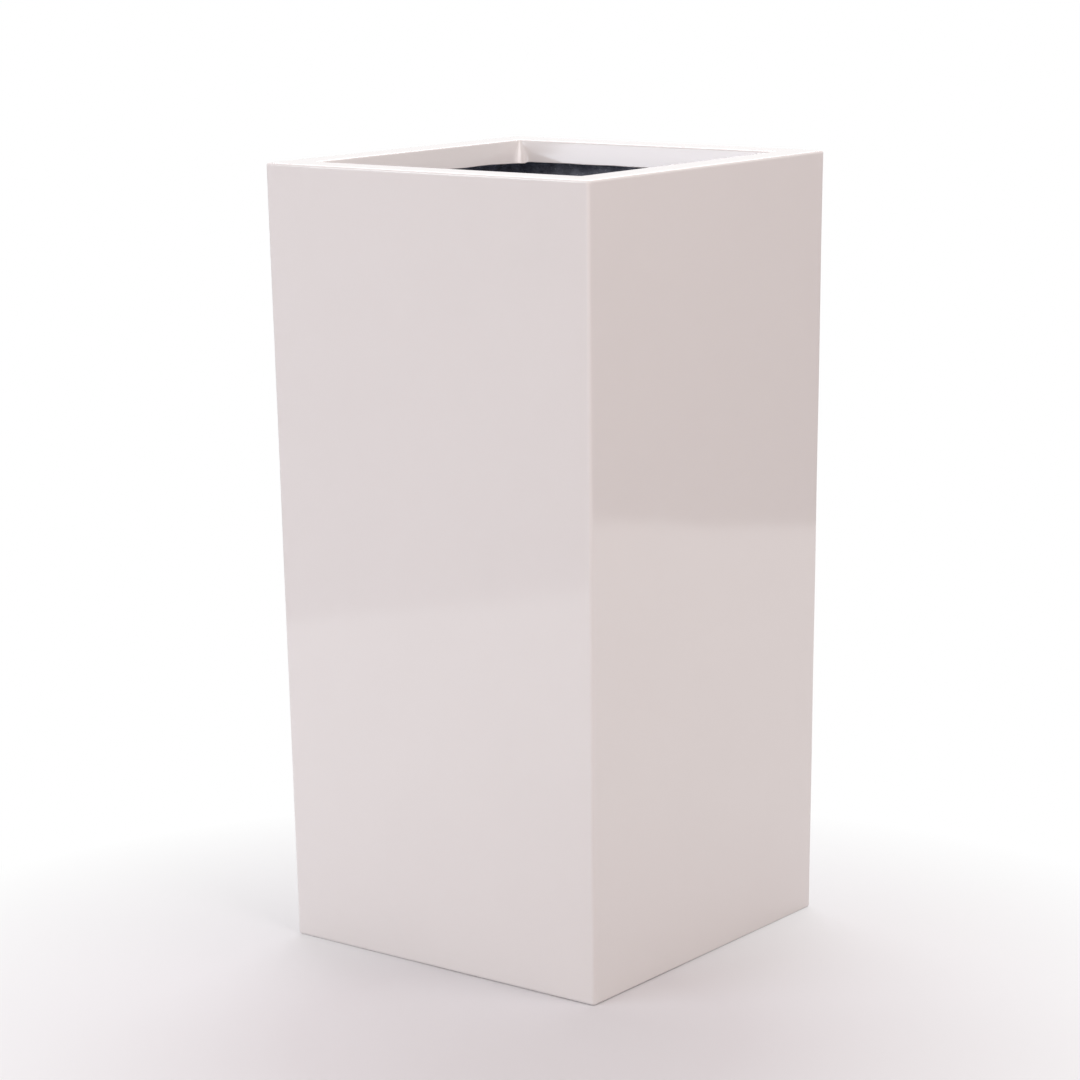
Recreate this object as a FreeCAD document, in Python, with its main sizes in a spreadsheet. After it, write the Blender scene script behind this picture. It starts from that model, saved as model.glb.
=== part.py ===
import FreeCAD, Part
import math
import os
import Sketcher

# Tall square planter: a glass-fibre moulding with its floor, its bonding and its plug.
# Origin: centre of the footprint, on the ground. +Z is up, and -Y is the front.

doc = FreeCAD.newDocument("planter")

# ---------------------------------------------------------------- driving dimensions, mm
SIZES = (
    # the moulding as it leaves its mould
    ("planter_height", 762.0),
    ("top_width", 381.0),
    ("base_width", 366.0),
    ("corner_radius", 3.5),
    ("base_edge_radius", 3.0),
    # the flat rim and the lip that turns down inside the mouth, leaning in by an angle
    ("rim_width", 34.0),
    ("rim_edge_radius", 2.5),
    ("lip_depth", 20.0),
    ("lip_lean", 15.0),
    ("mouth_corner_radius", 8.0),
    # the two layers of the wall, and the flange at the foot of it
    ("skin_thickness", 2.0),
    ("laminate_thickness", 3.0),
    ("laminate_corner_radius", 9.0),
    ("laminate_foot_radius", 4.0),
    ("flange_width", 28.0),
    # the floor panel, bonded in from inside on the flange
    ("panel_thickness", 6.0),
    ("panel_edge_gap", 1.0),
    ("panel_edge_chamfer", 4.0),
    ("drain_bore", 25.0),
    ("drain_chamfer", 1.0),
    # the cove of paste and glass between the floor panel and the walls
    ("cove_radius", 9.0),
    ("cove_feather", 0.8),
    # the rubber plug in the drain
    ("plug_clearance", 0.3),
    ("plug_wall", 1.8),
    ("plug_roof", 2.0),
    ("plug_taper", 0.5),
    ("plug_tip_chamfer", 0.6),
    ("plug_overhang", 1.0),
    ("plug_flange_width", 40.0),
    ("plug_flange_thickness", 3.5),
    ("plug_round", 1.0),
    ("tab_width", 22.0),
    ("tab_height", 18.0),
    ("tab_thickness", 5.0),
    ("tab_chamfer", 0.8),
)

sheet = doc.addObject("Spreadsheet::Sheet", "sizes")
for row, (name, value) in enumerate(SIZES, start=1):
    sheet.set("A%d" % row, name)
    sheet.set("B%d" % row, str(value))
    sheet.setAlias("B%d" % row, name)
doc.recompute()


def size(name):
    return float(sheet.get(name))


# The walls lean out by one angle all round, so that the moulding leaves its mould. The lip
# leans in by an angle of its own.
DRAFT = "atan((sizes.top_width - sizes.base_width) / 2 / sizes.planter_height)"
LEAN = "(sizes.lip_lean * 1 deg)"
wider_at_top = size("top_width") > size("base_width")

SKIN = "sizes.skin_thickness"
WALL = "(sizes.skin_thickness + sizes.laminate_thickness)"
FLANGE_OPENING = "(sizes.base_width - 2 * sizes.flange_width)"
PANEL_TOP = "(%s + sizes.panel_thickness)" % WALL
COVE_HEIGHT = "(sizes.cove_radius + 2 * sizes.cove_feather)"
STEM_WIDTH = "(sizes.drain_bore - 2 * sizes.plug_clearance)"
STEM_LENGTH = "(sizes.panel_thickness + sizes.plug_overhang)"


def wall_width(height, depth):
    """Width across two walls at a height above ground, at a depth under their outer face."""
    outer_face = "(sizes.base_width + 2 * %s * tan(%s))" % (height, DRAFT)
    return "(%s - 2 * %s / cos(%s))" % (outer_face, depth, DRAFT)


def mouth_width(drop, depth):
    """Width across the mouth at a drop under the rim, at a depth under the lip's own face."""
    narrowing = "(sizes.rim_width + %s * tan(%s) - %s / cos(%s))" % (drop, LEAN, depth, LEAN)
    return "(sizes.top_width - 2 * %s)" % narrowing


# ---------------------------------------------------------------- sketches and features
def new_body(name, height="0"):
    """A piece that stands at a height above ground."""
    body = doc.addObject("PartDesign::Body", name)
    body.Label = name
    body.setExpression("Placement.Base.z", height)
    return body


def origin_plane(body, role):
    return next(item for item in body.Origin.OriginFeatures if item.Role == role)


def new_sketch(body, name, role, height="0"):
    sketch = body.newObject("Sketcher::SketchObject", name)
    sketch.AttachmentSupport = [(origin_plane(body, role), "")]
    sketch.MapMode = "FlatFace"
    sketch.setExpression("AttachmentOffset.Base.z", height)
    return sketch


def constrain(sketch, *items):
    sketch.addConstraint(Sketcher.Constraint(*items))


def dimension(sketch, name, expression, *items):
    """A named dimension, tied to the sizes."""
    index = sketch.addConstraint(Sketcher.Constraint(*items))
    sketch.renameConstraint(index, name)
    sketch.setExpression("Constraints." + name, expression)


def draw_outline(sketch, points):
    """A closed outline of straight lines. Line number i runs from point i to the next."""
    for start, end in zip(points, points[1:] + points[:1]):
        sketch.addGeometry(Part.LineSegment(FreeCAD.Vector(*start), FreeCAD.Vector(*end)))
    for line in range(len(points)):
        constrain(sketch, "Coincident", line, 2, (line + 1) % len(points), 1)


def square_sketch(body, name, height, width):
    """A plain square, centred on the vertical axis."""
    sketch = new_sketch(body, name, "XY_Plane", height)
    half = size("top_width") / 2
    draw_outline(sketch, [(-half, -half), (half, -half), (half, half), (-half, half)])
    for side in range(4):
        constrain(sketch, ("Horizontal", "Vertical")[side % 2], side)
    constrain(sketch, "Symmetric", 0, 1, 2, 1, -1, 1)
    constrain(sketch, "Equal", 0, 1)
    dimension(sketch, "width", width, "DistanceX", 0, 1, 0, 2, 2 * half)
    return sketch


def rounded_sketch(body, name, height, width, radius):
    """A square with round corners, centred on the vertical axis."""
    sketch = new_sketch(body, name, "XY_Plane", height)
    half = size("top_width") / 2
    drawn_radius = size("mouth_corner_radius")
    flat = half - drawn_radius
    sides = [((-flat, -half), (flat, -half)), ((half, -flat), (half, flat)),
             ((flat, half), (-flat, half)), ((-half, flat), (-half, -flat))]
    for start, end in sides:
        sketch.addGeometry(Part.LineSegment(FreeCAD.Vector(*start), FreeCAD.Vector(*end)))
    for turn, centre in enumerate([(flat, -flat), (flat, flat), (-flat, flat), (-flat, -flat)]):
        circle = Part.Circle(FreeCAD.Vector(*centre), FreeCAD.Vector(0, 0, 1), drawn_radius)
        start = (turn - 1) * math.pi / 2
        sketch.addGeometry(Part.ArcOfCircle(circle, start, start + math.pi / 2))
    for side in range(4):
        corner = 4 + side
        constrain(sketch, "Tangent", side, 2, corner, 1)
        constrain(sketch, "Tangent", corner, 2, (side + 1) % 4, 1)
        constrain(sketch, ("Horizontal", "Vertical")[side % 2], side)
    for corner in (5, 6, 7):
        constrain(sketch, "Equal", 4, corner)
    constrain(sketch, "Symmetric", 0, 1, 2, 1, -1, 1)
    constrain(sketch, "Equal", 0, 1)
    dimension(sketch, "width", width, "DistanceX", 3, 1, 1, 1, 2 * half)
    dimension(sketch, "radius", radius, "Radius", 4, drawn_radius)
    return sketch


def circle_sketch(body, name, diameter):
    sketch = new_sketch(body, name, "XY_Plane")
    circle = Part.Circle(FreeCAD.Vector(), FreeCAD.Vector(0, 0, 1), size("drain_bore") / 2)
    sketch.addGeometry(circle)
    constrain(sketch, "Coincident", 0, 3, -1, 1)
    dimension(sketch, "diameter", diameter, "Diameter", 0, size("drain_bore"))
    return sketch


def finish(body, feature):
    body.Tip = feature
    doc.recompute()
    return feature


def pad(body, name, sketch, length):
    """Add a sketch's outline, upwards by a length."""
    feature = body.newObject("PartDesign::Pad", name)
    feature.Profile = sketch
    feature.setExpression("Length", length)
    return finish(body, feature)


def pocket(body, name, sketch, length, upwards):
    """Cut a sketch's outline away, up or down by a length."""
    feature = body.newObject("PartDesign::Pocket", name)
    feature.Profile = sketch
    feature.Reversed = upwards
    feature.setExpression("Length", length)
    return finish(body, feature)


def draft(body, name, base, reverse, angle):
    """Lean the upright sides that a pad or pocket has just made by an angle, from the level
    that their outline is drawn at."""
    feature = body.newObject("PartDesign::Draft", name)
    length = base.getPropertyByName("Length").Value
    level = base.Profile[0].AttachmentOffset.Base.z
    feature.Base = (base, faces_where(base, lambda face: abs(face.BoundBox.ZLength - length) < NEAR))
    feature.NeutralPlane = (base, faces_where(base, lambda face: is_level(face, level)))
    feature.Reversed = reverse
    feature.setExpression("Angle", "abs(%s)" % angle)
    return finish(body, feature)


def fillet(body, name, base, edges, radius):
    feature = body.newObject("PartDesign::Fillet", name)
    feature.Base = (base, edges)
    feature.setExpression("Radius", radius)
    return finish(body, feature)


def chamfer(body, name, base, edges, width):
    feature = body.newObject("PartDesign::Chamfer", name)
    feature.Base = (base, edges)
    feature.setExpression("Size", width)
    return finish(body, feature)


# ---------------------------------------------------------------- picking edges and faces
NEAR = 0.01


def names_of(items, kind, test):
    return ["%s%d" % (kind, number) for number, item in enumerate(items, start=1) if test(item)]


def edges_where(feature, test):
    return names_of(feature.Shape.Edges, "Edge", test)


def faces_where(feature, test):
    return names_of(feature.Shape.Faces, "Face", test)


def is_level(item, height):
    return abs(item.BoundBox.ZMin - height) < NEAR and abs(item.BoundBox.ZMax - height) < NEAR


def extent(item):
    """How far an edge or face gets from the vertical axis, along X or along Y."""
    return max(-item.BoundBox.XMin, item.BoundBox.XMax, -item.BoundBox.YMin, item.BoundBox.YMax)


def edges_outside(feature, height, split):
    """The level edges at a height that get further out than a split."""
    return edges_where(feature, lambda edge: is_level(edge, height) and extent(edge) > split)


def edges_inside(feature, height, split):
    """The level edges at a height that stay nearer the axis than a split."""
    return edges_where(feature, lambda edge: is_level(edge, height) and extent(edge) < split)


def upright_edges(feature, inside):
    """The corner edges of upright walls, on their inner or on their outer side. The outer
    ones are all that get as far out as the furthest."""
    longest = max(edge.BoundBox.ZLength for edge in feature.Shape.Edges)
    corners = [edge for edge in feature.Shape.Edges if edge.BoundBox.ZLength > longest / 2]
    furthest = max(extent(edge) for edge in corners)
    return edges_where(feature, lambda edge: edge.BoundBox.ZLength > longest / 2
                       and (extent(edge) < furthest - NEAR) == inside)


def corner_edges(feature, base):
    """The corner edges of the sides that a pad or pocket has made. A draft leaves them as high."""
    rise = base.getPropertyByName("Length").Value
    return edges_where(feature, lambda edge: abs(edge.BoundBox.ZLength - rise) < NEAR)


foot_split = (size("base_width") - size("flange_width")) / 2
rim_split = (size("top_width") - size("rim_width")) / 2


# ---------------------------------------------------------------- layers of the moulding
def moulded_layer(body, depth, thickness):
    """One layer of the moulding, whose outer face lies at a depth under the planter's own.
    A drafted box is opened at the base, which leaves the flange, and hollowed with the same
    draft up to its own top. The hollow is drawn at its narrow end and widens from there. The
    lip is a boss under the top, with the mouth cut through. Both are drawn at the lip's foot,
    their narrow end, and lean out from there."""
    length = "(sizes.planter_height - 2 * %s)" % depth
    lip_length = "(sizes.lip_depth - %s)" % depth
    lip_foot = "(%s - %s)" % (length, lip_length)
    back = "(%s + %s)" % (depth, thickness)

    outline = square_sketch(body, "outline", "0", wall_width(depth, depth))
    block = pad(body, "block", outline, length)
    draft(body, "outer_faces", block, wider_at_top, DRAFT)
    opening = square_sketch(body, "base_opening", "0", FLANGE_OPENING)
    pocket(body, "flange", opening, thickness, True)
    narrow_end = thickness if wider_at_top else "(%s - %s)" % (length, thickness)
    inside = square_sketch(body, "hollow", narrow_end,
                           wall_width("(%s + %s)" % (depth, narrow_end), back))
    hollow = pocket(body, "hollow_cut", inside, "%s - 2 * %s" % (length, thickness), wider_at_top)
    draft(body, "inner_faces", hollow, not wider_at_top, DRAFT)
    lip_back = square_sketch(body, "lip_back", lip_foot, mouth_width("sizes.lip_depth", back))
    boss = pad(body, "lip", lip_back, "%s - %s" % (lip_length, thickness))
    draft(body, "lip_faces", boss, True, LEAN)
    mouth = square_sketch(body, "mouth", lip_foot, mouth_width("sizes.lip_depth", depth))
    mouth_cut = pocket(body, "mouth_cut", mouth, lip_length, True)
    part = draft(body, "mouth_faces", mouth_cut, False, LEAN)
    part = fillet(body, "mouth_corners", part, corner_edges(part, mouth_cut),
                  "sizes.mouth_corner_radius + %s" % depth)
    return fillet(body, "lip_corners", part, corner_edges(part, boss),
                  "sizes.mouth_corner_radius + %s" % back)


# ---------------------------------------------------------------- outer shell
# The glossy white moulding: the gel coat with its first ply of glass, equally thick all
# over. Walls, rim, lip and the flange at the foot are one piece. The lip leans inwards.
outer_shell = new_body("outer_shell")
skin = size("skin_thickness")
rim_top = size("planter_height")
part = moulded_layer(outer_shell, "0", SKIN)
part = fillet(outer_shell, "outer_corners", part, upright_edges(part, False),
              "sizes.corner_radius")
part = fillet(outer_shell, "inner_corners", part, upright_edges(part, True),
              "sizes.corner_radius - sizes.skin_thickness")
part = fillet(outer_shell, "foot_edge", part, edges_outside(part, 0, foot_split),
              "sizes.base_edge_radius")
part = fillet(outer_shell, "foot_edge_inside", part, edges_outside(part, skin, foot_split),
              "sizes.base_edge_radius - sizes.skin_thickness")
part = fillet(outer_shell, "rim_edge", part, edges_outside(part, rim_top, rim_split),
              "sizes.rim_edge_radius")
part = fillet(outer_shell, "mouth_edge", part, edges_inside(part, rim_top, rim_split),
              "sizes.rim_edge_radius")


# ---------------------------------------------------------------- inner laminate
# The dark chopped-strand lay-up behind the skin, rolled out on every inner face of it. It
# lines the walls, the underside of the rim, the back of the lip and the top of the flange.
inner_laminate = new_body("inner_laminate", SKIN)
laminate = size("laminate_thickness")
part = moulded_layer(inner_laminate, SKIN, "sizes.laminate_thickness")
part = fillet(inner_laminate, "outer_corners", part, upright_edges(part, False),
              "sizes.corner_radius - sizes.skin_thickness")
part = fillet(inner_laminate, "inner_corners", part, upright_edges(part, True),
              "sizes.laminate_corner_radius")
part = fillet(inner_laminate, "foot_edge", part, edges_outside(part, 0, foot_split),
              "sizes.base_edge_radius - sizes.skin_thickness")
part = fillet(inner_laminate, "foot_edge_inside", part, edges_outside(part, laminate, foot_split),
              "sizes.laminate_foot_radius")


# ---------------------------------------------------------------- floor panel
# A flat glass-fibre panel, wider than the mouth, so it is lowered in on edge across the
# mouth's diagonal and laid on the flange. Its lower edge is chamfered to clear the rounded
# foot of the laminate.
floor_panel = new_body("floor_panel", WALL)
panel_width = "(%s - 2 * sizes.panel_edge_gap)" % wall_width(WALL, WALL)
outline = rounded_sketch(floor_panel, "outline", "0", panel_width,
                         "sizes.laminate_corner_radius - sizes.panel_edge_gap")
part = pad(floor_panel, "sheet", outline, "sizes.panel_thickness")
part = chamfer(floor_panel, "lower_edge", part, edges_outside(part, 0, 0),
               "sizes.panel_edge_chamfer")
bore = circle_sketch(floor_panel, "bore", "sizes.drain_bore")
part = pocket(floor_panel, "drain", bore, "sizes.panel_thickness", True)
panel_top = size("panel_thickness")
part = chamfer(floor_panel, "drain_mouth", part,
               edges_inside(part, panel_top, size("drain_bore")), "sizes.drain_chamfer")


# ---------------------------------------------------------------- bonding fillet
# A cove of resin paste and glass, laid in the corner between the floor panel and the
# walls. It feathers out on both, and is thicker in the four upright corners.
bonding_fillet = new_body("bonding_fillet", PANEL_TOP)
bond_width = wall_width(PANEL_TOP, WALL)
cove_width = "(%s - 2 * sizes.cove_feather)" % bond_width
cove_corner = "(sizes.laminate_corner_radius + sizes.cove_radius)"
window_width = "(%s - 2 * sizes.cove_radius - 4 * sizes.cove_feather)" % cove_width
outline = square_sketch(bonding_fillet, "outline", "0", bond_width)
part = pad(bonding_fillet, "bed", outline, COVE_HEIGHT)
part = draft(bonding_fillet, "against_the_walls", part, wider_at_top, DRAFT)
part = fillet(bonding_fillet, "corners", part, upright_edges(part, False),
              "sizes.laminate_corner_radius")
tray = rounded_sketch(bonding_fillet, "tray", COVE_HEIGHT, cove_width, cove_corner)
part = pocket(bonding_fillet, "tray_cut", tray, "%s - sizes.cove_feather" % COVE_HEIGHT, False)
part = fillet(bonding_fillet, "cove", part, edges_outside(part, size("cove_feather"), 0),
              "sizes.cove_radius")
window = rounded_sketch(bonding_fillet, "window", "0", window_width,
                        "sizes.laminate_corner_radius")
part = pocket(bonding_fillet, "window_cut", window, "sizes.cove_feather", True)


# ---------------------------------------------------------------- drain plug
# A soft rubber plug, moulded in one piece: a tapered stem, hollow from below so that it gives
# as it is pushed in, a flange that seals on the floor panel and a tab to pull it out by.
drain_plug = new_body("drain_plug", PANEL_TOP)
profile = new_sketch(drain_plug, "profile", "XZ_Plane")
stem = size("drain_bore") / 2
hollow = stem - size("plug_wall")
tip = (hollow + stem) / 2
rim = size("plug_flange_width") / 2
depth = size("panel_thickness")
thick = size("plug_flange_thickness")
roof = thick - size("plug_roof")
draw_outline(profile, [(0, roof), (hollow, roof), (hollow, -depth), (tip, -depth),
                       (stem, -depth / 2), (stem, 0), (rim, 0), (rim, thick), (0, thick)])
for level in (0, 2, 5, 7):
    constrain(profile, "Horizontal", level)
for upright in (1, 6, 8):
    constrain(profile, "Vertical", upright)
constrain(profile, "PointOnObject", 8, 1, -2)
constrain(profile, "PointOnObject", 5, 1, -1)
dimension(profile, "stem", "%s / 2" % STEM_WIDTH, "DistanceX", -1, 1, 5, 1, stem)
dimension(profile, "wall", "sizes.plug_wall", "DistanceX", 1, 1, 5, 1, stem - hollow)
dimension(profile, "roof", "sizes.plug_roof", "DistanceY", 0, 1, 8, 1, thick - roof)
dimension(profile, "flange", "sizes.plug_flange_width / 2", "DistanceX", -1, 1, 6, 1, rim)
dimension(profile, "flange_top", "sizes.plug_flange_thickness", "DistanceY", 6, 1, 6, 2, thick)
dimension(profile, "length", STEM_LENGTH, "DistanceY", 2, 1, -1, 1, depth)
dimension(profile, "taper", "sizes.plug_taper", "DistanceX", 3, 2, 5, 1, stem - tip)
dimension(profile, "tip", "sizes.plug_tip_chamfer", "DistanceX", 3, 1, 3, 2, stem - tip)
dimension(profile, "tip_rise", "sizes.plug_tip_chamfer", "DistanceY", 3, 1, 3, 2, depth / 2)
turned = drain_plug.newObject("PartDesign::Revolution", "turned")
turned.Profile = profile
turned.ReferenceAxis = (profile, ["V_Axis"])
part = finish(drain_plug, turned)
part = fillet(drain_plug, "flange_edge", part, edges_outside(part, thick, 0), "sizes.plug_round")

tab = new_sketch(drain_plug, "tab", "XZ_Plane")
half = size("tab_width") / 2
middle = size("tab_height") + thick - half
tab.addGeometry(Part.LineSegment(FreeCAD.Vector(half, thick), FreeCAD.Vector(half, middle)))
crown = Part.Circle(FreeCAD.Vector(0, middle), FreeCAD.Vector(0, 0, 1), half)
tab.addGeometry(Part.ArcOfCircle(crown, 0, math.pi))
tab.addGeometry(Part.LineSegment(FreeCAD.Vector(-half, middle), FreeCAD.Vector(-half, thick)))
tab.addGeometry(Part.LineSegment(FreeCAD.Vector(-half, thick), FreeCAD.Vector(half, thick)))
constrain(tab, "Tangent", 0, 2, 1, 1)
constrain(tab, "Tangent", 1, 2, 2, 1)
constrain(tab, "Coincident", 2, 2, 3, 1)
constrain(tab, "Coincident", 3, 2, 0, 1)
constrain(tab, "Vertical", 0)
constrain(tab, "Horizontal", 3)
constrain(tab, "PointOnObject", 1, 3, -2)
dimension(tab, "crown", "sizes.tab_width / 2", "Radius", 1, half)
dimension(tab, "foot", "sizes.plug_flange_thickness", "DistanceY", -1, 1, 3, 1, thick)
dimension(tab, "rise", "sizes.tab_height - sizes.tab_width / 2", "DistanceY", 0, 1, 0, 2,
          middle - thick)
grip = drain_plug.newObject("PartDesign::Pad", "grip")
grip.Profile = tab
grip.Midplane = True
grip.setExpression("Length", "sizes.tab_thickness")
part = finish(drain_plug, grip)
side_face = size("tab_thickness") / 2
part = chamfer(drain_plug, "grip_edges", part, edges_where(
    part, lambda edge: edge.BoundBox.ZMax > thick + NEAR and edge.BoundBox.YLength < NEAR
    and abs(abs(edge.BoundBox.YMax) - side_face) < NEAR), "sizes.tab_chamfer")


# ---------------------------------------------------------------- check and write
pieces = [outer_shell, inner_laminate, floor_panel, bonding_fillet, drain_plug]
doc.recompute()
for item in doc.Objects:
    if "Invalid" in item.State or "Error" in item.State:
        raise RuntimeError("%s did not build" % item.Label)
for piece in pieces:
    if piece.Shape.isNull() or not piece.Shape.isValid() or len(piece.Shape.Solids) != 1:
        raise RuntimeError("%s is not one sound solid" % piece.Label)

os.makedirs("parts", exist_ok=True)
for piece in pieces:
    piece.Shape.exportStep("parts/%s.step" % piece.Label)
    box = piece.Shape.optimalBoundingBox(False)
    print("%-16s %8.1f cm3   z %.1f to %.1f" % (piece.Label, piece.Shape.Volume / 1000,
                                               box.ZMin, box.ZMax))
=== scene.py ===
import math

import bpy
from mathutils import Matrix, Vector, noise


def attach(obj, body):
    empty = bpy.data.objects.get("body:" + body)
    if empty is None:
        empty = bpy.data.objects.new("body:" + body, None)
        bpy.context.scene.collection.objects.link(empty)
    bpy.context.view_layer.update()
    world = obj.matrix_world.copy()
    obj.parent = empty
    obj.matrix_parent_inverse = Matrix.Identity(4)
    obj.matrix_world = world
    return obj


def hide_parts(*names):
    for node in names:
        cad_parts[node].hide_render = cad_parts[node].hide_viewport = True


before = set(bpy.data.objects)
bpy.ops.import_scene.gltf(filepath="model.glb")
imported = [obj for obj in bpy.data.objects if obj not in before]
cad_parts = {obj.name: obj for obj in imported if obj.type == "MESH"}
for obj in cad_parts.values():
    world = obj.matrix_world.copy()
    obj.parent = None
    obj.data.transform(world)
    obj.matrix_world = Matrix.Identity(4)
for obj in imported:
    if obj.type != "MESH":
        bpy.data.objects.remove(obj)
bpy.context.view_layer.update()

# ---------------------------------------------------------------- outer shell
# The glossy white moulding: polyester gel coat, sprayed into a polished mould and backed by a
# ply of glass. Walls, rim, the lip inside the mouth and the flange at the foot are one piece.
# It leaves the mould very slightly wavy, and the lip's lower edge is trimmed by hand.
HEIGHT = 0.762
FOOT_HALF = 0.183
TOP_HALF = 0.1905
CORNER = 0.0035
FOOT_ROUND = 0.003
RIM_ROUND = 0.0025
RIM_WIDTH = 0.034
MOUTH_HALF = TOP_HALF - RIM_WIDTH
MOUTH_CORNER_TOP = 0.0015
MOUTH_CORNER_FOOT = 0.013
LIP_BOTTOM = 0.742
LIP_LEAN = math.radians(15)
LIP_EDGE_ROUND = 0.0004
FLANGE_HALF = 0.155
FLANGE_CORNER = 0.001
SKIN = 0.002
# A narrow band beside a rounding, which keeps the shading of the flat face flat.
EDGE_BAND = 0.0006
WALL_FOOT = 0.004
WALL_STEPS = 84
# The wall's wave: the bare margin and soft start at foot and rim, two sizes, and the bow in.
WAVE_MARGIN = 0.006
WAVE_FADE = 0.03
WIDE_WAVE = 0.00028
NEAR_WAVE = 0.00005
BOW_IN = 0.00012
# The lip's trimmed edge: how much of the lip goes with it, and how far it hangs and wanders.
TRIMMED = 0.001
TRIM_DROP = 0.0018
TRIM_WANDER = 0.0005
# The ridge in the mouth's far corner, measured along the edge from the corner.
RIDGE_START = -0.048
RIDGE_RUN = 0.042
RIDGE_END = 0.006
RIDGE_DROP = 0.0016
GEL_DEEP = (0.826, 0.805, 0.793)
GEL_PALE = (0.846, 0.825, 0.813)


class Wire:
    """One socket of a finish. A sum on wires adds Math nodes to the finish they belong to."""

    def __init__(self, socket):
        self.socket = socket

    def node(self, kind, settings=None, inputs=None, output=0):
        """Another node of the same finish. Its settings come first, then its sockets."""
        tree = self.socket.id_data
        added = tree.nodes.new(kind)
        for name, value in (settings or {}).items():
            if name == "stops":
                for stop, (place, shade) in zip(added.color_ramp.elements, value):
                    stop.position = place
                    stop.color = (shade, shade, shade, 1)
            else:
                setattr(added, name, value)
        for name, value in (inputs or {}).items():
            if isinstance(value, Wire):
                tree.links.new(value.socket, added.inputs[name])
            else:
                added.inputs[name].default_value = value
        return Wire(added.outputs[output])

    def sum(self, operation, first, second):
        return self.node("ShaderNodeMath", {"operation": operation}, {0: first, 1: second})

    def __add__(self, other):
        return self.sum("ADD", self, other)

    __radd__ = __add__

    def __sub__(self, other):
        return self.sum("SUBTRACT", self, other)

    def __rsub__(self, other):
        return self.sum("SUBTRACT", other, self)

    def __mul__(self, other):
        return self.sum("MULTIPLY", self, other)

    __rmul__ = __mul__

    def step(self, low, high):
        """0 below low and 1 above high, with a soft change between."""
        return self.node("ShaderNodeValToRGB", {"stops": ((low, 0), (high, 1))}, {"Fac": self})

    def pick(self, low_colour, high_colour):
        """A colour between two, as this wire goes from 0 to 1."""
        return self.node("ShaderNodeMix", {"data_type": "RGBA"},
                         {0: self, 6: colour(low_colour), 7: colour(high_colour)}, 2)


def colour(value):
    """A wire as it is, or three numbers as the colour that a socket takes."""
    return value if isinstance(value, Wire) else (*value, 1)


def new_finish(name):
    """A finish, with the place on the piece in metres and the shader that it ends in."""
    finish = bpy.data.materials.new(name)
    finish.use_nodes = True
    shader = finish.node_tree.nodes["Principled BSDF"]
    place = Wire(shader.outputs["BSDF"]).node("ShaderNodeTexCoord", output="Object")
    return finish, place, shader


def feed(node, name, wire):
    """Lead a wire into one of a node's sockets."""
    node.id_data.links.new(wire.socket, node.inputs[name])


def grain(place, size, detail=2.0, roughness=0.5):
    """Even noise from 0 to 1, whose lumps are about a size across."""
    return place.node("ShaderNodeTexNoise", {"noise_dimensions": "3D"},
                      {"Vector": place, "Scale": 1 / size, "Detail": detail,
                       "Roughness": roughness})


def relief(shader, height, depth):
    """Lay a fine relief on a finish: its height from 0 to 1, and its depth in metres."""
    bump = height.node("ShaderNodeBump", {}, {"Height": height, "Distance": depth})
    feed(shader, "Normal", bump)


def square_ring(half, corner, height, along, bend):
    """The points of a level square with round corners, from the front side's left end. A
    narrow strip at both ends of a side keeps its shading flat beside the corners."""
    flat = half - corner
    strip = 0.012
    steps = [0, strip] + [step / along for step in range(1, along)] + [1 - strip]
    points = []
    for side in range(4):
        turn = Matrix.Rotation(side * math.pi / 2, 3, "Z")
        for step in steps:
            points.append(turn @ Vector((flat * (2 * step - 1), -half, height)))
        points.append(turn @ Vector((flat, -half, height)))
        for part in range(1, bend):
            angle = math.pi / 2 * (part / bend - 1)
            round_point = Vector((math.cos(angle), math.sin(angle), 0)) * corner
            points.append(turn @ (Vector((flat, -flat, height)) + round_point))
    return points


def skin_over(name, rings, closed=True):
    """A mesh of four-sided faces over a row of rings. A closed row joins its ends up."""
    count = len(rings[0])
    points = [point for ring in rings for point in ring]
    faces = []
    for row in range(len(rings) if closed else len(rings) - 1):
        here = row * count
        above = (row + 1) % len(rings) * count
        for step in range(count):
            after = (step + 1) % count
            faces.append((here + step, here + after, above + after, above + step))
    mesh = bpy.data.meshes.new(name)
    mesh.from_pydata(points, [], faces)
    return mesh


def put_up(name, mesh, finish, body, node):
    """A finished piece: shaded smooth, riding on its body and standing for its CAD node."""
    mesh.shade_smooth()
    mesh.materials.append(finish)
    piece = bpy.data.objects.new(name, mesh)
    bpy.context.scene.collection.objects.link(piece)
    evened = piece.modifiers.new("evened shading", "WEIGHTED_NORMAL")
    evened.mode = "FACE_AREA"
    evened.weight = 50
    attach(piece, body)
    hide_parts(node)


def face_at(height):
    """How far the outer face stands from the middle, at a height."""
    return FOOT_HALF + (TOP_HALF - FOOT_HALF) * height / HEIGHT


def lip_at(height, depth=0.0):
    """How far the leaning lip stands from the middle, at a height and a depth under its face."""
    return MOUTH_HALF - (HEIGHT - height) * math.tan(LIP_LEAN) + depth / math.cos(LIP_LEAN)


def mouth_corner(height):
    """The radius of the lip's corners: tight at the rim and fuller towards the lip's foot."""
    share = (HEIGHT - height) / (HEIGHT - LIP_BOTTOM)
    return MOUTH_CORNER_TOP + (MOUTH_CORNER_FOOT - MOUTH_CORNER_TOP) * share


def rounding(radius, steps, start, end):
    """(outwards, upwards) from the middle of a round edge, between two angles in degrees."""
    for step in range(steps + 1):
        angle = math.radians(start + (end - start) * step / steps)
        yield radius * math.cos(angle), radius * math.sin(angle)


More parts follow.
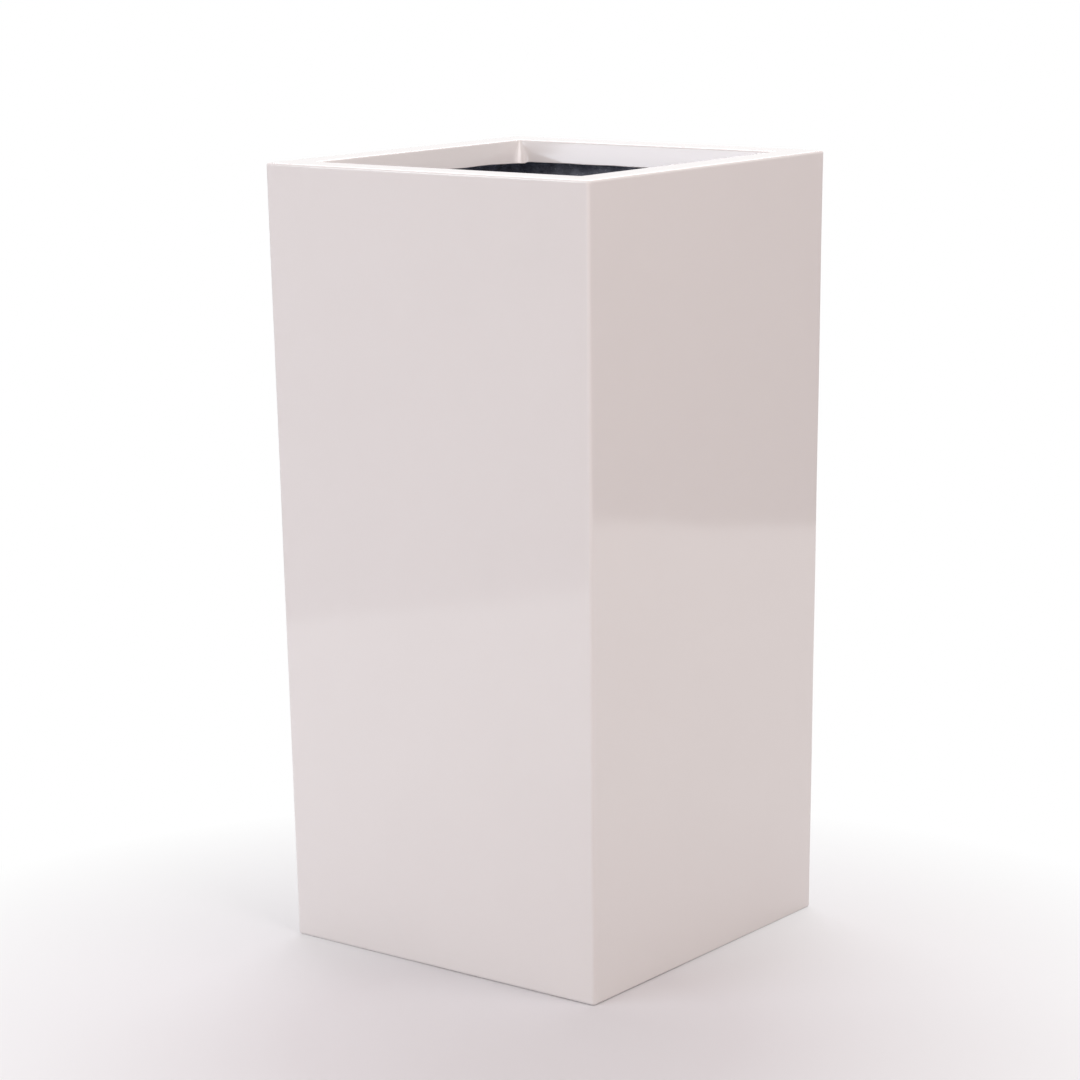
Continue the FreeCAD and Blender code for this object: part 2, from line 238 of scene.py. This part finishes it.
def shell_section():
    """Once round the skin's section: (distance from the middle, corner radius, height)."""
    yield FLANGE_HALF, FLANGE_CORNER, 0.0
    yield FLANGE_HALF + EDGE_BAND, FLANGE_CORNER, 0.0
    yield FOOT_HALF - FOOT_ROUND - EDGE_BAND, EDGE_BAND, 0.0
    for across, up in rounding(FOOT_ROUND, 6, -90, 0):
        inset = FOOT_ROUND - across
        height = FOOT_ROUND + up
        yield face_at(height) - inset, CORNER - inset, height
    yield face_at(WALL_FOOT), CORNER, WALL_FOOT
    edge = HEIGHT - RIM_ROUND
    low, high = WALL_FOOT + 0.002, edge - 0.002
    for step in range(WALL_STEPS + 1):
        height = low + (high - low) * step / WALL_STEPS
        yield face_at(height), CORNER, height
    yield face_at(edge - EDGE_BAND), CORNER, edge - EDGE_BAND
    for across, up in rounding(RIM_ROUND, 6, 0, 90):
        inset = RIM_ROUND - across
        yield face_at(edge) - inset, CORNER - inset, edge + up
    outer, inner = TOP_HALF - RIM_ROUND, lip_at(edge, RIM_ROUND)
    outer_corner, inner_corner = CORNER - RIM_ROUND, MOUTH_CORNER_TOP + RIM_ROUND
    for share in (0.02, 0.2, 0.4, 0.6, 0.8, 0.98):
        yield (outer + (inner - outer) * share,
               outer_corner + (inner_corner - outer_corner) * share, HEIGHT)
    for across, up in rounding(RIM_ROUND, 6, 90, 165):
        yield inner + across, mouth_corner(edge + up) + RIM_ROUND + across, edge + up
    for share in (0.05, 0.25, 0.5, 0.75, 0.95):
        height = edge + (LIP_BOTTOM - edge) * share
        yield lip_at(height), mouth_corner(height), height
    fold = LIP_BOTTOM + LIP_EDGE_ROUND
    yield lip_at(fold), MOUTH_CORNER_FOOT, fold
    for depth in (LIP_EDGE_ROUND, SKIN - LIP_EDGE_ROUND):
        yield lip_at(LIP_BOTTOM, depth), MOUTH_CORNER_FOOT + depth, LIP_BOTTOM
    yield lip_at(fold, SKIN), MOUTH_CORNER_FOOT + SKIN, fold
    yield lip_at(HEIGHT - SKIN, SKIN), MOUTH_CORNER_TOP + SKIN, HEIGHT - SKIN
    yield face_at(HEIGHT - SKIN) - SKIN, CORNER - SKIN, HEIGHT - SKIN
    yield face_at(FOOT_ROUND) - SKIN, CORNER - SKIN, FOOT_ROUND
    yield face_at(SKIN) - FOOT_ROUND, EDGE_BAND, SKIN
    yield FLANGE_HALF, FLANGE_CORNER, SKIN


def outwards(point):
    """The level direction from the planter's axis to a point."""
    return Vector((point.x, point.y, 0)).normalized()


def mould_wave(point):
    """How far the moulded wall bows out at a point, fading out at the foot and the rim."""
    fade = min(1, (point.z - WAVE_MARGIN) / WAVE_FADE,
               (HEIGHT - WAVE_MARGIN - point.z) / WAVE_FADE)
    wide = noise.noise(Vector((point.x * 9, point.y * 9, point.z * 7)))
    near = noise.noise(Vector((point.x * 26 + 7, point.y * 26, point.z * 14)))
    return max(0, fade) * (WIDE_WAVE * wide + NEAR_WAVE * near - BOW_IN)


def trim_drop(point):
    """How far the lip's hand-trimmed edge hangs below its line. In one corner a ridge of
    gel coat was left, with a step at its end."""
    drop = TRIM_DROP + TRIM_WANDER * noise.noise(point * 45)
    along = point.x + point.y
    if point.x < 0 < point.y and RIDGE_START < along < RIDGE_END:
        drop += RIDGE_DROP * min(1, (along - RIDGE_START) / RIDGE_RUN)
    return drop


shell_rings = []
for half, corner, height in shell_section():
    ring = square_ring(half, corner, height, 40, 6)
    on_wall = abs(half - face_at(height)) < 0.0001
    on_lip_edge = abs(height - LIP_BOTTOM) < TRIMMED and half < MOUTH_HALF + 2 * SKIN
    if on_wall:
        ring = [point + mould_wave(point) * outwards(point) for point in ring]
    if on_lip_edge:
        ring = [point - Vector((0, 0, trim_drop(point))) for point in ring]
    shell_rings.append(ring)

gel_coat, place, shader = new_finish("gel_coat")
cloud = grain(place, 0.12)
feed(shader, "Base Color", cloud.pick(GEL_DEEP, GEL_PALE))
feed(shader, "Roughness", 0.045 + 0.035 * grain(place, 0.03, 3.0))
shader.inputs["IOR"].default_value = 1.57
peel = grain(place, 0.0022, 1.0) * 0.6 + grain(place, 0.009, 1.0)
relief(shader, peel, 0.000012)
put_up("moulding", skin_over("moulding", shell_rings), gel_coat, "planter", "outer_shell")

# ---------------------------------------------------------------- inner laminate
# Chopped-strand glass mat, laid up by hand in dark grey resin behind the skin and rolled out.
# The strands lie every way, the resin stands glossy between them and is pale in patches where
# air stayed.
# Small pale specks over those patches are painted glints.
LAMINATE = 0.003
LAMINATE_CORNER = 0.009
LAMINATE_FOOT = 0.004
LAMINATE_STEPS = 190
FOLD_RELIEF = 0.00045
STRAND_RELIEF = 0.00026
RESIN_DARK = (0.13, 0.145, 0.19)
RESIN_PALE = (0.56, 0.595, 0.69)
# Painted glints: the colour of small pale specks that stand in for light caught on the resin.
GLINT_SPECK = (0.8, 0.82, 0.86)


def laminate_section():
    """Once round the lay-up's section, from the flange's edge up the back of the skin:
    (distance from the middle, corner radius, height, share of the mat's relief)."""
    back = SKIN + LAMINATE
    fold = LIP_BOTTOM + LIP_EDGE_ROUND
    yield FLANGE_HALF, FLANGE_CORNER, back, 0
    yield FLANGE_HALF, FLANGE_CORNER, SKIN, 0
    yield face_at(SKIN) - FOOT_ROUND, EDGE_BAND, SKIN, 0
    yield face_at(FOOT_ROUND) - SKIN, CORNER - SKIN, FOOT_ROUND, 0
    yield face_at(HEIGHT - SKIN) - SKIN, CORNER - SKIN, HEIGHT - SKIN, 0
    yield lip_at(HEIGHT - SKIN, SKIN), MOUTH_CORNER_TOP + SKIN, HEIGHT - SKIN, 0
    yield lip_at(fold, SKIN), MOUTH_CORNER_FOOT + SKIN, fold, 0
    yield lip_at(LIP_BOTTOM, SKIN + LIP_EDGE_ROUND), MOUTH_CORNER_FOOT + SKIN, LIP_BOTTOM, 0.5
    yield lip_at(LIP_BOTTOM, back - EDGE_BAND), MOUTH_CORNER_FOOT + back, LIP_BOTTOM, 0.5
    for height in (LIP_BOTTOM + EDGE_BAND, LIP_BOTTOM + 0.006):
        yield lip_at(height, back), mouth_corner(height) + back, height, 0.75
    ceiling = HEIGHT - back
    corner = mouth_corner(ceiling) + back
    yield lip_at(ceiling, back) + 0.0005, corner, ceiling - 0.001, 1
    yield lip_at(ceiling, back) + 0.003, corner, ceiling, 1
    yield lip_at(ceiling, back) + 0.012, LAMINATE_CORNER + 0.004, ceiling, 1
    yield face_at(ceiling) - back - 0.002, LAMINATE_CORNER, ceiling, 1
    low, high = back + LAMINATE_FOOT, ceiling - 0.002
    for step in range(LAMINATE_STEPS + 1):
        height = high + (low - high) * step / LAMINATE_STEPS
        yield face_at(height) - back, LAMINATE_CORNER, height, 1
    for across, up in rounding(LAMINATE_FOOT, 4, 0, -90):
        inset = LAMINATE_FOOT - across
        height = back + LAMINATE_FOOT + up
        yield face_at(height) - back - inset, LAMINATE_CORNER - inset, height, 0.6
    yield FLANGE_HALF + 0.008, 0.004, back, 1


def mat_relief(point):
    """The lumpy height of rolled-out glass mat: soft folds with short ridges over them."""
    fold = noise.noise(point * 38)
    ridge = 1 - 2 * abs(noise.noise(Vector((point.x * 150, point.y * 150, point.z * 90))))
    cross = 1 - 2 * abs(noise.noise(Vector((point.z * 160, point.x * 80 + 3, point.y * 80))))
    return FOLD_RELIEF * fold + STRAND_RELIEF * max(ridge, cross)


laminate_rings = []
for half, corner, height, rough in laminate_section():
    ring = square_ring(half, corner, height, 90, 8)
    if rough:
        ring = [point - rough * mat_relief(point) * outwards(point) for point in ring]
    laminate_rings.append(ring)

laminate, place, shader = new_finish("laminate")
stretched = place.node("ShaderNodeVectorMath", {"operation": "MULTIPLY"},
                       {0: place, 1: (1.0, 1.0, 3.6)})
slanted = place.node("ShaderNodeVectorRotate", {"rotation_type": "EULER_XYZ"},
                     {"Vector": place, "Rotation": (0.7, 0.9, 0.5)})
slanted = place.node("ShaderNodeVectorMath", {"operation": "MULTIPLY"},
                     {0: slanted, 1: (3.2, 1.0, 1.0)})
strands = grain(stretched, 0.0045).step(0.42, 0.6)
strands = strands * 0.5 + grain(slanted, 0.004).step(0.44, 0.58) * 0.5
patches = grain(place, 0.014, 3.0).step(0.35, 0.7)
# Painted glints: small pale specks laid into the colour over the pale patches, with a little
# bump under them.
painted_glints = place.node("ShaderNodeTexVoronoi", {"feature": "F1"},
                    {"Vector": place, "Scale": 190.0})
painted_glints = 1 - painted_glints.step(0.1, 0.2)
resin = (strands * 0.4 + patches * 0.6).pick(RESIN_DARK, RESIN_PALE)
feed(shader, "Base Color", (painted_glints * patches).pick(resin, GLINT_SPECK))
feed(shader, "Roughness", 0.36 - 0.2 * strands)
relief(shader, strands + patches * 0.6 + painted_glints * 0.4, 0.0004)
put_up("glass_lay_up", skin_over("glass_lay_up", laminate_rings), laminate, "planter",
       "inner_laminate")

# ---------------------------------------------------------------- floor panel
# A flat panel of the same glass and dark resin, pressed smooth on both faces. It lies on the
# flange at the foot of the walls, with the drain bored through its middle.
PANEL_BOTTOM = 0.005
PANEL_TOP = 0.011
PANEL_CORNER = 0.008
PANEL_CHAMFER = 0.004
DRAIN = 0.0125
DRAIN_CHAMFER = 0.001
PANEL_EDGE_GAP = 0.001
PANEL_DARK = (0.13, 0.14, 0.17)
PANEL_PALE = (0.4, 0.42, 0.47)


def wall_at(height):
    """How far the bare inner face of the walls stands from the middle, at a height."""
    return face_at(height) - SKIN - LAMINATE


PANEL_HALF = wall_at(PANEL_BOTTOM) - PANEL_EDGE_GAP


def panel_ring(share, half, corner, bore, height):
    """A ring that is round at the drain and square at the edge, and between the two."""
    points = []
    for point in square_ring(half, corner, height, 20, 6):
        flat = Vector((point.x, point.y, 0))
        points.append((flat.normalized() * bore).lerp(flat, share) + Vector((0, 0, height)))
    return points


panel_rings = [
    panel_ring(0, PANEL_HALF, PANEL_CORNER, DRAIN, PANEL_BOTTOM),
    panel_ring(0, PANEL_HALF, PANEL_CORNER, DRAIN, PANEL_TOP - DRAIN_CHAMFER - 0.0002),
    panel_ring(0, PANEL_HALF, PANEL_CORNER, DRAIN + 0.0001, PANEL_TOP - DRAIN_CHAMFER),
    panel_ring(0, PANEL_HALF, PANEL_CORNER, DRAIN + DRAIN_CHAMFER, PANEL_TOP),
]
for share in (0.004, 0.05, 0.15, 0.3, 0.45, 0.6, 0.75, 0.9, 0.997):
    panel_rings.append(panel_ring(share, PANEL_HALF, PANEL_CORNER, DRAIN + DRAIN_CHAMFER,
                                  PANEL_TOP))
panel_rings += [
    square_ring(PANEL_HALF, PANEL_CORNER, PANEL_TOP - 0.0004, 20, 6),
    square_ring(PANEL_HALF, PANEL_CORNER, PANEL_BOTTOM + PANEL_CHAMFER, 20, 6),
    square_ring(PANEL_HALF - PANEL_CHAMFER, PANEL_CORNER - PANEL_CHAMFER, PANEL_BOTTOM, 20, 6),
]
for share in (0.95, 0.6, 0.3, 0.1, 0.01):
    panel_rings.append(panel_ring(share, PANEL_HALF - PANEL_CHAMFER,
                                  PANEL_CORNER - PANEL_CHAMFER, DRAIN, PANEL_BOTTOM))

panel, place, shader = new_finish("panel")
glass = grain(place, 0.0055, 3.0).step(0.35, 0.65)
stain = grain(place, 0.05, 3.0).step(0.3, 0.75)
feed(shader, "Base Color", (glass * 0.45 + stain * 0.55).pick(PANEL_DARK, PANEL_PALE))
feed(shader, "Roughness", 0.36 + 0.2 * glass)
relief(shader, glass, 0.00012)
put_up("floor", skin_over("floor", panel_rings), panel, "planter", "floor_panel")

# ---------------------------------------------------------------- bonding fillet
# The cove of resin paste and chopped glass that bonds the floor panel to the walls. It is
# pulled round with a gloved finger, so its width and its feathered edges wander a little.
COVE = 0.009
FEATHER = 0.0008
# The paste's back stays a hair off the wall, and its arrises are this small.
HAIR = 0.00005
ARRIS = 0.0002
PASTE_DARK = (0.2, 0.21, 0.24)
PASTE_PALE = (0.5, 0.515, 0.55)


def cove_section():
    """Once round the cove's section, from its foot up its back to the feathered top edge and
    down its hollow: (distance, corner radius, height, share of the finger marks)."""
    top = PANEL_TOP + COVE + 2 * FEATHER
    cove_half = wall_at(PANEL_TOP)
    yield cove_half - COVE - 3 * FEATHER, LAMINATE_CORNER, PANEL_TOP, 0
    yield cove_half - ARRIS, LAMINATE_CORNER, PANEL_TOP, 0
    yield cove_half - HAIR, LAMINATE_CORNER, PANEL_TOP + ARRIS, 0
    yield wall_at(top) - HAIR, LAMINATE_CORNER, top - ARRIS, 0
    yield wall_at(top) - 0.0003, LAMINATE_CORNER, top, 0.3
    for across, up in rounding(COVE, 12, 0, -90):
        inset = COVE - across
        yield (cove_half - FEATHER - inset, LAMINATE_CORNER + COVE - inset,
               PANEL_TOP + FEATHER + COVE + up, 1)
    yield cove_half - COVE - 2.5 * FEATHER, LAMINATE_CORNER, PANEL_TOP + 0.0004, 0.3


def finger_marks(point):
    """How far the paste stands proud where a finger dragged less of it away."""
    return 0.0005 * noise.noise(point * 30) + 0.00025 * noise.noise(point * 110)


cove_rings = []
for half, corner, height, worked in cove_section():
    ring = square_ring(half, corner, height, 60, 12)
    if worked:
        ring = [point + worked * finger_marks(point) * (Vector((0, 0, 1)) - outwards(point))
                for point in ring]
    cove_rings.append(ring)

paste, place, shader = new_finish("paste")
fibres = grain(place, 0.003, 3.0, 0.6).step(0.35, 0.7)
streaks = grain(place, 0.02, 3.0).step(0.3, 0.7)
feed(shader, "Base Color", (fibres * 0.4 + streaks * 0.6).pick(PASTE_DARK, PASTE_PALE))
feed(shader, "Roughness", 0.42 + 0.2 * streaks)
relief(shader, fibres + streaks, 0.0003)
put_up("bonding_cove", skin_over("bonding_cove", cove_rings), paste, "planter",
       "bonding_fillet")

# ---------------------------------------------------------------- drain plug
# A soft black rubber plug, moulded in one piece: hollow tapered stem, flange and pull tab.
# It is pushed into the drain by hand and pulled out by the tab.
STEM = 0.0122
STEM_WALL = 0.0018
STEM_TAPER = 0.0005
STEM_BOTTOM = 0.004
ROOF_BOTTOM = 0.0125
PLUG_RIM = 0.02
PLUG_RIM_TOP = 0.0145
PLUG_ROUND = 0.001
TAB_HALF = 0.011
TAB_THICK_HALF = 0.0025
TAB_CROWN = 0.0215
TAB_ROOT = 0.0012
TINY = 0.0003
RUBBER_DARK = (0.016, 0.016, 0.017)
RUBBER_BLOOM = (0.034, 0.034, 0.036)


def plug_ring(half_length, half_width, squareness, height):
    """A level ring: round at a squareness of 2, and a long block with soft corners above."""
    points = []
    for step in range(72):
        across, along = math.cos(step * math.pi / 36), math.sin(step * math.pi / 36)
        points.append(Vector((
            half_length * math.copysign(abs(across) ** (2 / squareness), across),
            half_width * math.copysign(abs(along) ** (2 / squareness), along), height)))
    return points


def plug_rings():
    """From the top of the tab down to the flange, round it and up into the hollow stem."""
    yield plug_ring(TINY, TINY, 2, TAB_CROWN + TAB_HALF - 0.00005)
    yield plug_ring(0.0016, 0.0012, 2, TAB_CROWN + TAB_HALF - 0.0001)
    for step in range(1, 17):
        angle = math.radians(6 + 84 * step / 16)
        soft = TAB_THICK_HALF - 0.0012 * (1 - math.sin(angle)) ** 3
        yield plug_ring(TAB_HALF * math.sin(angle), soft, 2 + 4 * step / 16,
                        TAB_CROWN + TAB_HALF * math.cos(angle))
    root = PLUG_RIM_TOP + TAB_ROOT
    yield plug_ring(TAB_HALF, TAB_THICK_HALF, 6, root)
    for across, up in rounding(TAB_ROOT, 5, 180, 270):
        wider = TAB_ROOT + across
        yield plug_ring(TAB_HALF + wider, TAB_THICK_HALF + wider, 5, root + up)
    yield plug_ring(0.0145, 0.007, 3.2, PLUG_RIM_TOP)
    yield plug_ring(0.0168, 0.0125, 2.4, PLUG_RIM_TOP)
    for across, up in rounding(PLUG_ROUND, 5, 90, 0):
        reach = PLUG_RIM - PLUG_ROUND + across
        yield plug_ring(reach, reach, 2, PLUG_RIM_TOP - PLUG_ROUND + up)
    yield plug_ring(PLUG_RIM, PLUG_RIM, 2, PANEL_TOP + TINY)
    yield plug_ring(PLUG_RIM - TINY, PLUG_RIM - TINY, 2, PANEL_TOP)
    yield plug_ring(STEM + TINY, STEM + TINY, 2, PANEL_TOP)
    yield plug_ring(STEM, STEM, 2, PANEL_TOP - TINY)
    tip = STEM - STEM_TAPER
    yield plug_ring(tip, tip, 2, STEM_BOTTOM + 0.0008)
    yield plug_ring(tip - 0.0002, tip - 0.0002, 2, STEM_BOTTOM + 0.0003)
    yield plug_ring(tip - 0.0006, tip - 0.0006, 2, STEM_BOTTOM)
    hollow = STEM - STEM_WALL
    yield plug_ring(hollow + 0.0002, hollow + 0.0002, 2, STEM_BOTTOM)
    yield plug_ring(hollow, hollow, 2, STEM_BOTTOM + 0.0002)
    yield plug_ring(hollow, hollow, 2, ROOF_BOTTOM - 0.0008)
    yield plug_ring(hollow - 0.0008, hollow - 0.0008, 2, ROOF_BOTTOM)
    yield plug_ring(0.004, 0.004, 2, ROOF_BOTTOM)
    yield plug_ring(TINY, TINY, 2, ROOF_BOTTOM)


plug_mesh = skin_over("plug", list(plug_rings()), closed=False)

rubber, place, shader = new_finish("rubber")
bloom = grain(place, 0.009, 3.0).step(0.35, 0.75)
feed(shader, "Base Color", bloom.pick(RUBBER_DARK, RUBBER_BLOOM))
feed(shader, "Roughness", 0.52 + 0.14 * bloom)
relief(shader, grain(place, 0.0006), 0.00003)
put_up("plug", plug_mesh, rubber, "plug", "drain_plug")

# ---------------------------------------------------------------- floor
# A plain pale studio floor. It takes the planter's soft shadow round one spot in front of it,
# and from there runs out to a white that glows for the camera and in gloss: painted light that
# hides the shadow.
FLOOR_HALF = 40
FLOOR_GREY = (0.745, 0.745, 0.765)
WHITE = (1, 1, 1)
SHADOW_SPOT = (0.17, -0.28, 0)
SHADOW_FULL = 0.2
SHADOW_GONE = 0.76

floor_mesh = bpy.data.meshes.new("studio_floor")
floor_mesh.from_pydata([(-FLOOR_HALF, -FLOOR_HALF, 0), (FLOOR_HALF, -FLOOR_HALF, 0),
                        (FLOOR_HALF, FLOOR_HALF, 0), (-FLOOR_HALF, FLOOR_HALF, 0)],
                       [], [(0, 1, 2, 3)])
studio_floor = bpy.data.objects.new("studio_floor", floor_mesh)
bpy.context.scene.collection.objects.link(studio_floor)


def shown(wire):
    """1 for the rays that show a surface: to the camera, off gloss and through glass."""
    kinds = ("Is Camera Ray", "Is Glossy Ray", "Is Transmission Ray")
    camera_ray, gloss_ray, through = (wire.node("ShaderNodeLightPath", output=kind)
                                      for kind in kinds)
    return camera_ray + gloss_ray + through


pale, place, shader = new_finish("studio_floor")
floor_mesh.materials.append(pale)
shader.inputs["Base Color"].default_value = colour(FLOOR_GREY)
shader.inputs["Roughness"].default_value = 0.9
shader.inputs["Specular IOR Level"].default_value = 0.0
far = place.node("ShaderNodeVectorMath", {"operation": "DISTANCE"},
                 {0: place, 1: SHADOW_SPOT}, "Value").step(SHADOW_FULL, SHADOW_GONE)
lit = Wire(shader.outputs["BSDF"])
# Painted light: a white glow that takes over from the lit floor farther from the shadow spot.
white = far.node("ShaderNodeEmission", {}, {"Color": colour(WHITE), "Strength": 1.0})
mixed = far.node("ShaderNodeMixShader", {}, {0: far * shown(far), 1: lit, 2: white})
feed(pale.node_tree.nodes["Material Output"], "Surface", mixed)

# ---------------------------------------------------------------- studio light
# A white surround that is dim as a light, a wide softbox above and behind, three smaller ones
# to the right and in front, and two dark cards that only the planter's gloss shows.
SURROUND_LIGHT = (0.394, 0.335, 0.306)
CARD_DARKEST = 0.65

world = bpy.data.worlds.new("studio")
bpy.context.scene.world = world
world.use_nodes = True
surround = world.node_tree.nodes["Background"]
seen = shown(Wire(surround.outputs["Background"]))
feed(surround, "Color", seen.pick(SURROUND_LIGHT, WHITE))
surround.inputs["Strength"].default_value = 1.0


def softbox(name, place, width, height, power, tint, aim):
    """A soft rectangular lamp at a place, turned to a height on the planter's axis."""
    lamp = bpy.data.lights.new(name, "AREA")
    lamp.shape = "RECTANGLE"
    lamp.size = width
    lamp.size_y = height
    lamp.energy = power
    lamp.color = tint
    stand = bpy.data.objects.new(name, lamp)
    bpy.context.scene.collection.objects.link(stand)
    stand.location = place
    beam = Vector((0, 0, aim)) - stand.location
    stand.rotation_euler = beam.to_track_quat("-Z", "Y").to_euler()
    stand.visible_camera = False


softbox("back_softbox", (-1.2, 1.5, 2.4), 2.4, 2.0, 38.5, (0.933, 0.937, 1.0), 0.3)
softbox("right_softbox", (1.8, -0.2, 2.6), 1.6, 1.6, 35.2, (1.0, 0.935, 0.949), 0.5)
softbox("front_softbox", (0.3, -2.4, 1.8), 1.6, 1.6, 8.3, (1.0, 0.866, 0.809), 0.5)
softbox("low_softbox", (-1.2, -2.4, 1.4), 1.6, 1.2, 25.3, (0.851, 0.904, 1.0), 0.5)


def dark_card(name, middle, width, height, foot_shade, top_shade):
    """A card that stands on the floor, for the glossy walls to reflect and nothing else. It
    darkens from its foot to the height CARD_DARKEST."""
    away = Vector((middle[0], middle[1], 0)).normalized()
    side = Vector((-away.y, away.x, 0)) * width / 2
    foot = Vector((middle[0], middle[1], 0))
    up = Vector((0, 0, height))
    mesh = bpy.data.meshes.new(name)
    mesh.from_pydata([foot - side, foot + side, foot + side + up, foot - side + up], [],
                     [(0, 1, 2, 3)])
    card = bpy.data.objects.new(name, mesh)
    bpy.context.scene.collection.objects.link(card)
    finish, place, shader = new_finish(name)
    above = place.node("ShaderNodeSeparateXYZ", {}, {"Vector": place}, "Z")
    above = above.step(0, CARD_DARKEST)
    feed(shader, "Base Color", above.pick((foot_shade,) * 3, (top_shade,) * 3))
    shader.inputs["Roughness"].default_value = 0.9
    mesh.materials.append(finish)
    card.visible_camera = False
    card.visible_diffuse = False
    card.visible_shadow = False


dark_card("right_card", (1.389, 1.646), 3.2, 0.9, 0.2, 0.01)
dark_card("left_card", (-1.269, -0.842), 2.6, 0.9, 0.42, 0.18)

# ---------------------------------------------------------------- camera
# A long lens at about a metre's height, looking down on the near corner.
camera_data = bpy.data.cameras.new("camera")
camera_data.sensor_width = 36.0
camera_data.lens = 106.66
camera_data.shift_x = -0.0116
camera_data.shift_y = 0.0069
camera = bpy.data.objects.new("camera", camera_data)
bpy.context.scene.collection.objects.link(camera)
azimuth = math.radians(37.541)
elevation = math.radians(11.544)
roll = math.radians(-0.664)
distance = 3.1304
back = Vector((math.sin(azimuth) * math.cos(elevation),
               -math.cos(azimuth) * math.cos(elevation), math.sin(elevation)))
right = Vector((math.cos(azimuth), math.sin(azimuth), 0))
upward = back.cross(right)
level = math.cos(roll) * right + math.sin(roll) * upward
tilted = math.cos(roll) * upward - math.sin(roll) * right
stand = Vector((0, 0, HEIGHT / 2)) + distance * back
turn = Matrix((level, tilted, back)).transposed().to_4x4()
camera.matrix_world = Matrix.Translation(stand) @ turn
bpy.context.scene.camera = camera
bpy.context.scene.view_settings.view_transform = "Standard"

bpy.context.view_layer.update()
